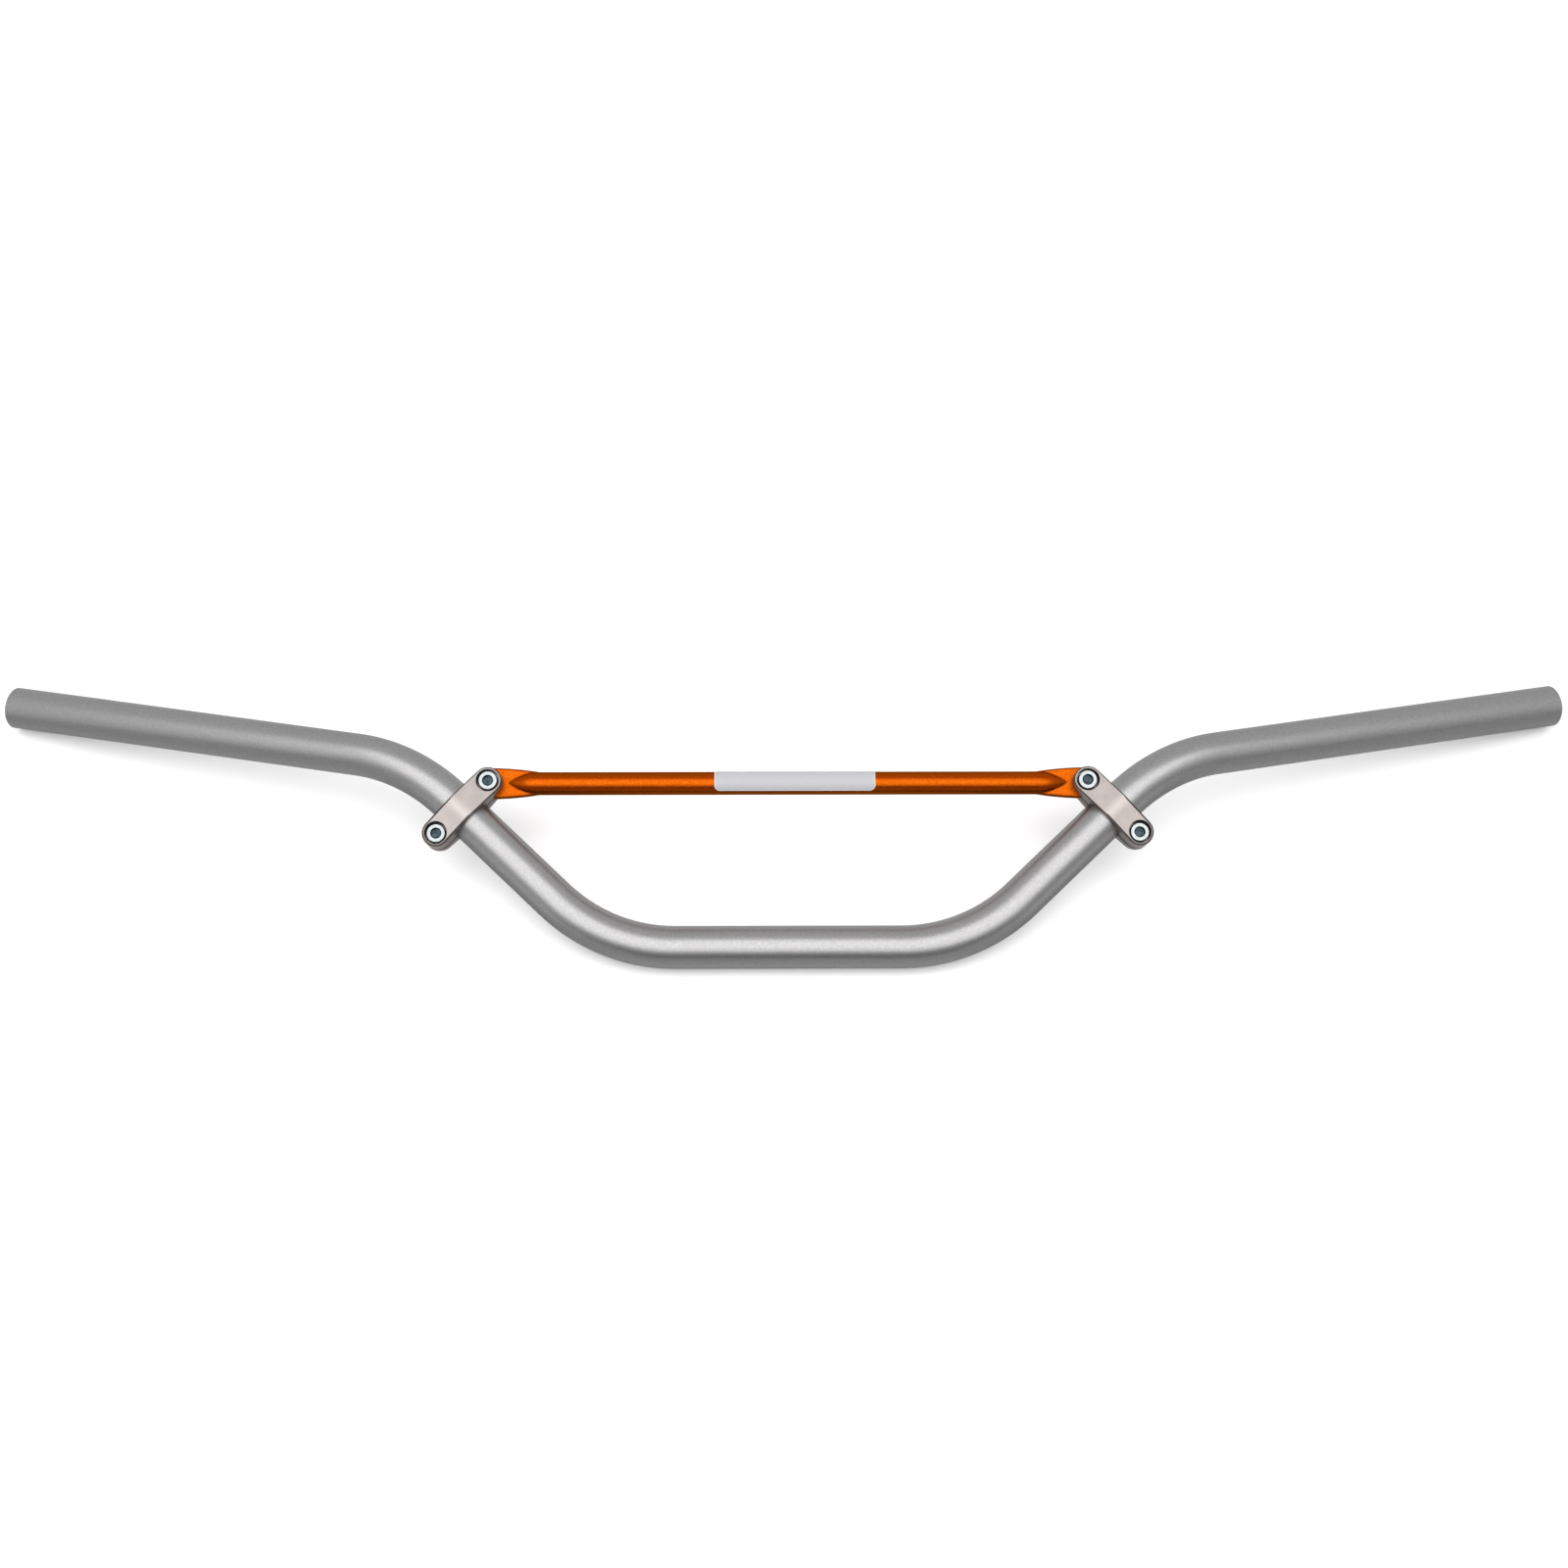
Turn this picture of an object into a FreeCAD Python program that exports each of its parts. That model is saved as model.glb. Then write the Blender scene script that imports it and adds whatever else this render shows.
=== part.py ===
import FreeCAD, Part
import math
import os
import Sketcher
from FreeCAD import Placement, Rotation, Vector

# An off-road handlebar: a bent aluminium tube, braced by a crossbar that two clamps hold to its legs.
# The pieces are drawn flat: X runs along the bar to the right, Y up in the plane of the tube's legs and
# Z out of that plane, to the front. They are then tipped about X to lie as the bar lies on a table, on
# its straight middle and on both of its tips. The origin is on the tube's axis, in the bar's middle.

# Driving dimensions: name, value in millimetres or degrees, meaning.
SIZES = (
    ("tube_diameter", 22.0, "outside of the bar tube"),
    ("tube_wall", 3.5, "wall of the bar tube"),
    ("tube_end_chamfer", 0.6, "broken edge at each tip of the tube"),
    ("centre_straight", 116.0, "straight middle, where a stem clamps the bar"),
    ("lower_bend_radius", 90.0, "bend from the middle into a leg, at the tube's axis"),
    ("leg_angle", 43.5, "rise of a leg from the middle, degrees"),
    ("leg_straight", 75.0, "straight length of a leg"),
    ("upper_bend_radius", 92.0, "bend from a leg into a grip end, at the tube's axis"),
    ("grip_rise_angle", 10.4, "rise of a grip end in the plane of the legs, degrees"),
    ("grip_sweep_angle", 14.5, "sweep of a grip end behind that plane, degrees"),
    ("grip_straight", 205.0, "straight length of a grip end"),
    ("clamp_station", 66.5, "middle of a clamp along its leg, from the lower bend"),
    ("clamp_width", 14.2, "clamp along the leg, and across its round ends"),
    ("clamp_cover", 3.5, "clamp material over the tube, at the ridge"),
    ("clamp_fit", 0.05, "radial clearance of a clamp's groove on the tube"),
    ("eye_chamfer", 0.6, "chamfer round a clamp's outer face, on the crossbar's side of the ridge"),
    ("pinch_chamfer", 0.9, "chamfer round a clamp's outer face, on the pinch screw's side of the ridge"),
    ("eye_ear_fall", 3.5, "fall of a front half's face from the ridge to the crossbar screw"),
    ("pinch_ear_fall", 2.5, "fall of a front half's face from the ridge to the pinch screw"),
    ("rear_ear_fall", 6.5, "fall of a rear half's face from the ridge to either screw"),
    ("pinch_offset", 17.5, "pinch screw from the tube's axis"),
    ("rod_diameter", 12.0, "round middle of the crossbar"),
    ("nose_setback", 4.5, "point of the rod's conical nose, inside the tongue, from the crossbar screw"),
    ("nose_angle", 20.0, "slope of the nose, degrees"),
    ("nose_blend", 20.0, "radius that rounds the nose into the rod"),
    ("tongue_thickness", 4.0, "flat end of the crossbar, and the gap between two clamp halves"),
    ("tongue_width", 16.0, "round eye of the flat end"),
    ("tongue_taper", 27.0, "from the crossbar screw to where the tongue is as narrow as the rod"),
    ("tongue_chamfer", 0.7, "broken edges of the tongue"),
    ("tongue_clearance", 1.2, "gap between the tongue's eye and the bar tube"),
    ("screw_diameter", 6.0, "shank of the socket screws"),
    ("screw_length", 12.0, "shank length under the head"),
    ("head_diameter", 10.0, "screw head"),
    ("head_height", 6.0, "screw head"),
    ("head_chamfer", 0.4, "broken edge on top of the head"),
    ("socket_flats", 5.0, "hexagon socket across flats"),
    ("socket_depth", 3.0, "hexagon socket"),
    ("screw_floor", 2.5, "clamp material under a screw head"),
    ("hole_play", 0.6, "clearance hole over the shank, on the diameter"),
    ("head_play", 1.7, "counterbore over the head, on the diameter"),
    ("thread_play", 0.1, "tapped hole over the shank, on the diameter"),
    ("label_length", 83.0, "foil label along the rod"),
    ("label_shift", 3.5, "middle of the label to the right of the bar's middle"),
    ("label_lower_angle", 48.0, "lower edge of the label below the rod's front, degrees"),
    ("label_wrap_angle", 194.0, "how far the label goes round the rod, degrees"),
    ("label_thickness", 0.15, "foil"),
    ("label_glue", 0.05, "glue film between rod and foil"),
    ("label_corner", 3.2, "corner radius of the label"),
    ("cut_overrun", 1.0, "how far a cutting profile runs past the solid that it cuts"),
)

# Places that several pieces share, as formulas of the driving dimensions.
TUBE_RADIUS = "(dims.tube_diameter / 2)"
SPLIT = "(dims.tongue_thickness / 2)"
RIDGE = "(dims.tube_diameter / 2 + dims.clamp_cover)"
EAR_RADIUS = "(dims.clamp_width / 2)"
EYE_OFFSET = "(dims.tube_diameter / 2 + dims.tongue_clearance + dims.tongue_width / 2)"
SEAT = f"({SPLIT} + dims.screw_floor)"
LABEL_OUTSIDE = "(dims.rod_diameter / 2 + dims.label_glue + dims.label_thickness)"
CLAMP_X = (
    "(dims.centre_straight / 2 + dims.lower_bend_radius * sin(dims.leg_angle * 1 deg)"
    " + dims.clamp_station * cos(dims.leg_angle * 1 deg))"
)
CLAMP_Y = (
    "(dims.lower_bend_radius * (1 - cos(dims.leg_angle * 1 deg))"
    " + dims.clamp_station * sin(dims.leg_angle * 1 deg))"
)
EYE_X = f"({CLAMP_X} - {EYE_OFFSET} * sin(dims.leg_angle * 1 deg))"
EYE_Y = f"({CLAMP_Y} + {EYE_OFFSET} * cos(dims.leg_angle * 1 deg))"
NOSE_BASE_X = (
    f"({EYE_X} - dims.nose_setback - dims.rod_diameter / 2 / tan(dims.nose_angle * 1 deg)"
    " - dims.nose_blend * tan(dims.nose_angle / 2 * 1 deg))"
)

SIDES = {"left": -1, "right": 1}
TOLERANCE = 1e-4

doc = FreeCAD.newDocument("handlebar")
sheet = doc.addObject("Spreadsheet::Sheet", "dims")
for row, (alias, number, meaning) in enumerate(SIZES, start=1):
    sheet.set(f"A{row}", meaning)
    sheet.set(f"B{row}", str(number))
    sheet.setAlias(f"B{row}", alias)
doc.recompute()

nodes = {}


def value(formula):
    """The number that a formula of the driving dimensions gives."""
    return float(sheet.evalExpression(formula))


def size(alias):
    """One driving dimension."""
    return value(f"dims.{alias}")


def new_body(label):
    """An empty body with its own label."""
    body = doc.addObject("PartDesign::Body", label)
    body.Label = label
    return body


def origin_plane(body, role):
    """One of the body's own origin planes."""
    return next(feature for feature in body.Origin.OriginFeatures if feature.Role == role)


def new_sketch(body, role, name, height=None):
    """A sketch on one of the body's origin planes, raised off it by a formula."""
    sketch = body.newObject("Sketcher::SketchObject", name)
    sketch.AttachmentSupport = [(origin_plane(body, role), "")]
    sketch.MapMode = "FlatFace"
    if height:
        sketch.setExpression("AttachmentOffset.Base.z", height)
    return sketch


def drive(sketch, constraint, formula):
    """Adds a dimension to the sketch and binds it to a formula."""
    index = sketch.addConstraint(constraint)
    sketch.setExpression(f"Constraints[{index}]", formula)


def fix_point(sketch, geometry, end, x, y):
    """Places one end of a sketch element at two formulas, or on an axis where a formula is 0."""
    for kind, formula, axis in (("DistanceX", x, -2), ("DistanceY", y, -1)):
        if formula == "0":
            sketch.addConstraint(Sketcher.Constraint("PointOnObject", geometry, end, axis))
        else:
            dimension = Sketcher.Constraint(kind, -1, 1, geometry, end, value(formula))
            drive(sketch, dimension, formula)


def draw_polygon(sketch, corners):
    """Draws a closed outline of straight lines through corners given as pairs of formulas."""
    points = [Vector(value(x), value(y), 0) for x, y in corners]
    lines = [
        sketch.addGeometry(Part.LineSegment(point, points[(index + 1) % len(points)]), False)
        for index, point in enumerate(points)
    ]
    for index, line in enumerate(lines):
        following = lines[(index + 1) % len(lines)]
        sketch.addConstraint(Sketcher.Constraint("Coincident", line, 2, following, 1))
    for line, (x, y) in zip(lines, corners):
        fix_point(sketch, line, 1, x, y)


def draw_circle(sketch, x, y, diameter):
    """Draws a circle, placed and sized by formulas."""
    circle = Part.Circle(Vector(value(x), value(y), 0), Vector(0, 0, 1), value(diameter) / 2)
    index = sketch.addGeometry(circle, False)
    fix_point(sketch, index, 3, x, y)
    drive(sketch, Sketcher.Constraint("Diameter", index, value(diameter)), diameter)


def pad(body, sketch, name, length, symmetric=False, backwards=False):
    """Raises a sketch by a formula's length."""
    feature = body.newObject("PartDesign::Pad", name)
    feature.Profile = sketch
    feature.SideType = "Symmetric" if symmetric else "One side"
    feature.Reversed = backwards
    feature.setExpression("Length", length)
    doc.recompute()


def pocket(body, sketch, name, upwards=False, symmetric=False, depth=None):
    """Cuts a sketch through the body, or to a formula's depth, and makes sure that it cut something."""
    before = body.Shape.Volume
    feature = body.newObject("PartDesign::Pocket", name)
    feature.Profile = sketch
    feature.SideType = "Symmetric" if symmetric else "One side"
    feature.Reversed = upwards
    if depth:
        feature.setExpression("Length", depth)
    else:
        feature.Type = "ThroughAll"
    doc.recompute()
    if body.Shape.Volume > before - TOLERANCE:
        raise RuntimeError(f"{body.Label}: {name} cut nothing")


def edges_where(shape, test):
    """Names of the shape's edges whose middle passes the test."""
    middles = [edge.valueAt((edge.FirstParameter + edge.LastParameter) / 2) for edge in shape.Edges]
    return [f"Edge{index}" for index, middle in enumerate(middles, start=1) if test(middle)]


def chamfer_edges(body, name, test, width):
    """Chamfers the edges of the body that pass the test, by a formula's width."""
    base = body.Tip
    feature = body.newObject("PartDesign::Chamfer", name)
    feature.Base = (base, edges_where(base.Shape, test))
    feature.setExpression("Size", width)
    doc.recompute()


def unit(vector):
    """The vector at length 1."""
    return vector * (1 / vector.Length)


def grip_direction():
    """The way the right grip end runs outwards."""
    rise = math.radians(size("grip_rise_angle"))
    sweep = math.radians(size("grip_sweep_angle"))
    return Vector(math.cos(sweep) * math.cos(rise), math.cos(sweep) * math.sin(rise), -math.sin(sweep))


def bend(start, inward, outward, radius):
    """The arc that turns a path from one direction to another, and the point where it ends."""
    turn = inward.getAngle(outward)
    across = unit(outward - inward * inward.dot(outward))

    def at(angle):
        return start + (inward * math.sin(angle) + across * (1 - math.cos(angle))) * radius

    return Part.Arc(start, at(turn / 2), at(turn)).toShape(), at(turn)


def right_half_path():
    """The axis of the tube's right half, from the bar's middle to the right tip, and that tip."""
    lean = math.radians(size("leg_angle"))
    middle_way = Vector(1, 0, 0)
    leg_way = Vector(math.cos(lean), math.sin(lean), 0)
    grip_way = grip_direction()
    middle_end = middle_way * (size("centre_straight") / 2)
    lower_bend, leg_start = bend(middle_end, middle_way, leg_way, size("lower_bend_radius"))
    leg_end = leg_start + leg_way * size("leg_straight")
    upper_bend, grip_start = bend(leg_end, leg_way, grip_way, size("upper_bend_radius"))
    tip = grip_start + grip_way * size("grip_straight")
    edges = [
        Part.makeLine(Vector(0, 0, 0), middle_end),
        lower_bend,
        Part.makeLine(leg_start, leg_end),
        upper_bend,
        Part.makeLine(grip_start, tip),
    ]
    return Part.Wire(edges), tip


def rest_tilt(tip):
    """How far the flat-drawn bar is tipped up about X, in degrees, to touch the table with both tips.

    A tip touches with the lowest point of its end, where the chamfer starts.
    """
    radius = value(TUBE_RADIUS)
    level = math.atan2(-tip.z, tip.y)
    way = grip_direction()
    dip = -(way.y * math.sin(level) + way.z * math.cos(level))
    drop = radius * (1 - math.sqrt(1 - dip * dip)) + size("tube_end_chamfer") * dip
    return math.degrees(level - math.asin(drop / math.hypot(tip.y, tip.z)))


def seat_node(piece, local=Placement()):
    """Lays a finished piece, drawn flat at its local place, on the table and keeps it as a node."""
    piece.Placement = resting.multiply(local)
    nodes[piece.Label] = piece


def make_bar_tube(path, tip):
    """The bent tube: a ring swept along the right half's axis, then mirrored."""
    axis = doc.addObject("Part::Feature", "bar_axis")
    axis.Shape = path
    body = new_body("bar_tube")
    ring = new_sketch(body, "YZ_Plane", "tube_section")
    draw_circle(ring, "0", "0", "dims.tube_diameter")
    draw_circle(ring, "0", "0", "dims.tube_diameter - 2 * dims.tube_wall")
    half = body.newObject("PartDesign::AdditivePipe", "right_half")
    half.Profile = ring
    half.Spine = (axis, [f"Edge{index}" for index in range(1, len(path.Edges) + 1)])
    doc.recompute()
    whole = body.newObject("PartDesign::Mirrored", "both_halves")
    whole.Originals = [half]
    whole.MirrorPlane = (origin_plane(body, "YZ_Plane"), [""])
    body.Tip = whole
    doc.recompute()

    def at_a_tip(middle):
        from_tip = Vector(abs(middle.x), middle.y, middle.z) - tip
        return abs(from_tip.dot(grip_direction())) < TOLERANCE

    chamfer_edges(body, "tip_edges", at_a_tip, "dims.tube_end_chamfer")
    seat_node(body)


def draw_slot(sketch):
    """Draws a clamp's outline seen from the front: a slot with round ends about its two screws."""
    radius = value(EAR_RADIUS)
    eye = value(EYE_OFFSET)
    pinch = -size("pinch_offset")
    up = Vector(0, 0, 1)
    eye_end = sketch.addGeometry(
        Part.ArcOfCircle(Part.Circle(Vector(eye, 0, 0), up, radius), -math.pi / 2, math.pi / 2), False)
    upper = sketch.addGeometry(Part.LineSegment(Vector(eye, radius, 0), Vector(pinch, radius, 0)), False)
    pinch_end = sketch.addGeometry(
        Part.ArcOfCircle(Part.Circle(Vector(pinch, 0, 0), up, radius), math.pi / 2, 3 * math.pi / 2), False)
    lower = sketch.addGeometry(Part.LineSegment(Vector(pinch, -radius, 0), Vector(eye, -radius, 0)), False)
    outline = [eye_end, upper, pinch_end, lower]
    for element, following in zip(outline, outline[1:] + outline[:1]):
        sketch.addConstraint(Sketcher.Constraint("Tangent", element, 2, following, 1))
    sketch.addConstraint(Sketcher.Constraint("Equal", eye_end, pinch_end))
    fix_point(sketch, eye_end, 3, EYE_OFFSET, "0")
    fix_point(sketch, pinch_end, 3, "-dims.pinch_offset", "0")
    drive(sketch, Sketcher.Constraint("Radius", eye_end, radius), EAR_RADIUS)


def make_clamp_half(label, front, place):
    """Half a clamp, on its front or rear side of the leg.

    Here X runs across the leg to the crossbar screw, Y along the leg and Z to the front. The outer face
    falls from a ridge over the tube to both screws. The front half is counterbored for the screw heads,
    and the rear half is tapped.
    """
    sign = "" if front else "-"
    body = new_body(label)
    plan = new_sketch(body, "XY_Plane", "plan", f"{sign}{SPLIT}")
    draw_slot(plan)
    pad(body, plan, "block", f"{RIDGE} - {SPLIT}", backwards=not front)

    eye_end = f"({EYE_OFFSET} + {EAR_RADIUS} + dims.cut_overrun)"
    pinch_end = f"(dims.pinch_offset + {EAR_RADIUS} + dims.cut_overrun)"
    eye_slope = f"(dims.{'eye' if front else 'rear'}_ear_fall / {EYE_OFFSET})"
    pinch_slope = f"(dims.{'pinch' if front else 'rear'}_ear_fall / dims.pinch_offset)"
    eye_height = f"({RIDGE} - {eye_slope} * {eye_end})"
    pinch_height = f"({RIDGE} - {pinch_slope} * {pinch_end})"
    top = f"({RIDGE} + dims.cut_overrun)"
    roof = new_sketch(body, "XZ_Plane", "outer_face")
    draw_polygon(roof, (
        (f"-{pinch_end}", f"{sign}{pinch_height}"),
        ("0", f"{sign}{RIDGE}"),
        (eye_end, f"{sign}{eye_height}"),
        (eye_end, f"{sign}{top}"),
        (f"-{pinch_end}", f"{sign}{top}"),
    ))
    pocket(body, roof, "sloped_faces", symmetric=True)

    groove = new_sketch(body, "XZ_Plane", "tube_groove")
    draw_circle(groove, "0", "0", "dims.tube_diameter + 2 * dims.clamp_fit")
    pocket(body, groove, "groove", symmetric=True)

    holes = new_sketch(body, "XY_Plane", "screw_axes")
    hole = f"dims.screw_diameter + dims.{'hole_play' if front else 'thread_play'}"
    for x in (EYE_OFFSET, "-dims.pinch_offset"):
        draw_circle(holes, x, "0", hole)
    pocket(body, holes, "screw_holes", symmetric=True)
    if front:
        seats = new_sketch(body, "XY_Plane", "head_seats", SEAT)
        for x in (EYE_OFFSET, "-dims.pinch_offset"):
            draw_circle(seats, x, "0", "dims.head_diameter + dims.head_play")
        pocket(body, seats, "counterbores", upwards=True)

    def on_outline(middle, slope):
        along = min(max(middle.x, -size("pinch_offset")), value(EYE_OFFSET))
        on_wall = abs(math.hypot(middle.x - along, middle.y) - value(EAR_RADIUS)) < TOLERANCE
        return on_wall and abs(abs(middle.z) - value(RIDGE) + value(slope) * abs(middle.x)) < TOLERANCE

    def on_eye_outline(middle):
        return middle.x > 0 and on_outline(middle, eye_slope)

    def on_pinch_outline(middle):
        return middle.x < 0 and on_outline(middle, pinch_slope)

    chamfer_edges(body, "eye_edges", on_eye_outline, "dims.eye_chamfer")
    chamfer_edges(body, "pinch_edges", on_pinch_outline, "dims.pinch_chamfer")
    seat_node(body, place)


def make_screw(label, place):
    """A socket head cap screw that stands on Z, with the underside of its head at zero."""
    body = new_body(label)
    head = "(dims.head_diameter / 2)"
    shank = "(dims.screw_diameter / 2)"
    profile = new_sketch(body, "XZ_Plane", "half_section")
    draw_polygon(profile, (
        ("0", "dims.head_height"),
        (f"{head} - dims.head_chamfer", "dims.head_height"),
        (head, "dims.head_height - dims.head_chamfer"),
        (head, "0"),
        (shank, "0"),
        (shank, "-dims.screw_length"),
        ("0", "-dims.screw_length"),
    ))
    turned = body.newObject("PartDesign::Revolution", "turned")
    turned.Profile = profile
    turned.ReferenceAxis = (profile, ["V_Axis"])
    doc.recompute()
    socket = new_sketch(body, "XY_Plane", "socket_outline", "dims.head_height")
    corner = "dims.socket_flats / sqrt(3)"
    draw_polygon(socket, [
        (f"{corner} * cos({angle} deg)", f"{corner} * sin({angle} deg)" if angle % 180 else "0")
        for angle in range(0, 360, 60)
    ])
    pocket(body, socket, "socket", depth="dims.socket_depth")
    seat_node(body, place)


def draw_tongue(sketch, side):
    """Draws one flat end of the crossbar from the front: a round eye, drawn in by two arcs to the rod."""
    eye_x = side * value(EYE_X)
    radius = size("tongue_width") / 2
    neck_x = eye_x - side * size("tongue_taper")
    neck = math.sqrt(size("rod_diameter") ** 2 - size("tongue_thickness") ** 2) / 2
    flank = (size("tongue_taper") ** 2 + (radius - neck) ** 2) / (2 * (radius - neck))
    turn = math.asin(size("tongue_taper") / flank)
    up = Vector(0, 0, 1)
    quarter = side * math.pi / 2
    circle = Part.Circle(Vector(eye_x, 0, 0), up, radius)
    eye = sketch.addGeometry(Part.ArcOfCircle(circle, -quarter, -quarter + math.pi), False)
    circle = Part.Circle(Vector(eye_x, side * (radius - flank), 0), up, flank)
    away = sketch.addGeometry(Part.ArcOfCircle(circle, quarter, quarter + turn), False)
    across = sketch.addGeometry(
        Part.LineSegment(Vector(neck_x, side * neck, 0), Vector(neck_x, -side * neck, 0)), False)
    circle = Part.Circle(Vector(eye_x, side * (flank - radius), 0), up, flank)
    back = sketch.addGeometry(Part.ArcOfCircle(circle, -quarter - turn, -quarter), False)
    sketch.addConstraint(Sketcher.Constraint("Tangent", eye, 2, away, 1))
    sketch.addConstraint(Sketcher.Constraint("Coincident", away, 2, across, 1))
    sketch.addConstraint(Sketcher.Constraint("Coincident", across, 2, back, 1))
    sketch.addConstraint(Sketcher.Constraint("Tangent", back, 2, eye, 1))
    for end in (1, 2):
        sketch.addConstraint(Sketcher.Constraint("Vertical", eye, end, eye, 3))
    sign = "" if side > 0 else "-"
    other = "-" if side > 0 else ""
    neck_formula = "(sqrt(dims.rod_diameter ^ 2 - dims.tongue_thickness ^ 2) / 2)"
    fix_point(sketch, eye, 3, f"{sign}{EYE_X}", "0")
    drive(sketch, Sketcher.Constraint("Radius", eye, radius), "dims.tongue_width / 2")
    fix_point(sketch, away, 2, f"{sign}({EYE_X} - dims.tongue_taper)", f"{sign}{neck_formula}")
    fix_point(sketch, across, 2, f"{sign}({EYE_X} - dims.tongue_taper)", f"{other}{neck_formula}")


def draw_rod(sketch):
    """Draws half the section of the round rod, along X, with a conical nose at each end."""
    radius = size("rod_diameter") / 2
    blend = size("nose_blend")
    lean = math.radians(size("nose_angle"))
    tip_x = value(EYE_X) - size("nose_setback")
    base_x = value(NOSE_BASE_X)
    cone_x = base_x + blend * math.sin(lean)
    cone_y = radius - blend * (1 - math.cos(lean))
    up = Vector(0, 0, 1)
    crest = sketch.addGeometry(Part.LineSegment(Vector(base_x, radius, 0), Vector(-base_x, radius, 0)), False)
    circle = Part.Circle(Vector(-base_x, radius - blend, 0), up, blend)
    left_blend = sketch.addGeometry(Part.ArcOfCircle(circle, math.pi / 2, math.pi / 2 + lean), False)
    left_cone = sketch.addGeometry(Part.LineSegment(Vector(-cone_x, cone_y, 0), Vector(-tip_x, 0, 0)), False)
    axis = sketch.addGeometry(Part.LineSegment(Vector(-tip_x, 0, 0), Vector(tip_x, 0, 0)), False)
    right_cone = sketch.addGeometry(Part.LineSegment(Vector(tip_x, 0, 0), Vector(cone_x, cone_y, 0)), False)
    circle = Part.Circle(Vector(base_x, radius - blend, 0), up, blend)
    right_blend = sketch.addGeometry(Part.ArcOfCircle(circle, math.pi / 2 - lean, math.pi / 2), False)
    for element, following in (
        (crest, left_blend), (left_blend, left_cone), (right_cone, right_blend), (right_blend, crest),
    ):
        sketch.addConstraint(Sketcher.Constraint("Tangent", element, 2, following, 1))
    sketch.addConstraint(Sketcher.Constraint("Coincident", left_cone, 2, axis, 1))
    sketch.addConstraint(Sketcher.Constraint("Coincident", axis, 2, right_cone, 1))
    fix_point(sketch, crest, 1, NOSE_BASE_X, "dims.rod_diameter / 2")
    fix_point(sketch, crest, 2, f"-{NOSE_BASE_X}", "dims.rod_diameter / 2")
    fix_point(sketch, axis, 1, f"-({EYE_X} - dims.nose_setback)", "0")
    fix_point(sketch, axis, 2, f"({EYE_X} - dims.nose_setback)", "0")
    for arc in (left_blend, right_blend):
        drive(sketch, Sketcher.Constraint("Radius", arc, blend), "dims.nose_blend")


def make_crossbar():
    """The brace: a round rod, drawn out at each end into a flat tongue with an eye for a screw."""
    body = new_body("crossbar")
    tongues = new_sketch(body, "XY_Plane", "tongue_outlines")
    for side in SIDES.values():
        draw_tongue(tongues, side)
    pad(body, tongues, "tongues", "dims.tongue_thickness", symmetric=True)
    level = value(SPLIT)
    neck_x = value(EYE_X) - size("tongue_taper")

    def on_tongue_rim(middle):
        return abs(abs(middle.z) - level) < TOLERANCE and abs(middle.x) > neck_x + TOLERANCE

    chamfer_edges(body, "tongue_edges", on_tongue_rim, "dims.tongue_chamfer")
    section = new_sketch(body, "XY_Plane", "rod_section")
    draw_rod(section)
    rod = body.newObject("PartDesign::Revolution", "rod")
    rod.Profile = section
    rod.ReferenceAxis = (section, ["H_Axis"])
    doc.recompute()
    eyes = new_sketch(body, "XY_Plane", "eye_outlines")
    for sign in ("", "-"):
        draw_circle(eyes, f"{sign}{EYE_X}", "0", "dims.screw_diameter + dims.hole_play")
    pocket(body, eyes, "eyes", symmetric=True)
    seat_node(body, Placement(Vector(0, value(EYE_Y), 0), Rotation()))


def make_label_corner(name, at_end, at_upper_edge):
    """The tool that rounds one corner of the label: a block with a round hole about the corner's centre.

    Here Z runs along the label from its left end, and the label goes round Z from its upper edge.
    """
    block = doc.addObject("Part::Box", f"{name}_block")
    block.setExpression("Length", "dims.rod_diameter")
    block.setExpression("Width", "2 * dims.label_corner")
    block.setExpression("Height", "2 * dims.label_corner")
    reach = 2 * size("label_corner")
    block.Placement.Base = Vector(0, -reach if at_upper_edge else 0, 0 if at_end else -reach)
    disc = doc.addObject("Part::Cylinder", f"{name}_disc")
    disc.setExpression("Radius", "dims.label_corner + dims.label_thickness / 2")
    disc.setExpression("Height", "dims.rod_diameter")
    disc.Placement.Rotation = Rotation(Vector(0, 1, 0), 90)
    tool = doc.addObject("Part::Cut", name)
    tool.Base = block
    tool.Tool = disc
    inset = math.degrees(math.asin(size("label_corner") / value(LABEL_OUTSIDE)))
    turn = inset if at_upper_edge else size("label_wrap_angle") - inset
    along = size("label_length") - size("label_corner") if at_end else size("label_corner")
    tool.Placement = Placement(Vector(0, 0, along), Rotation(Vector(0, 0, 1), turn))
    return tool


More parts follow.
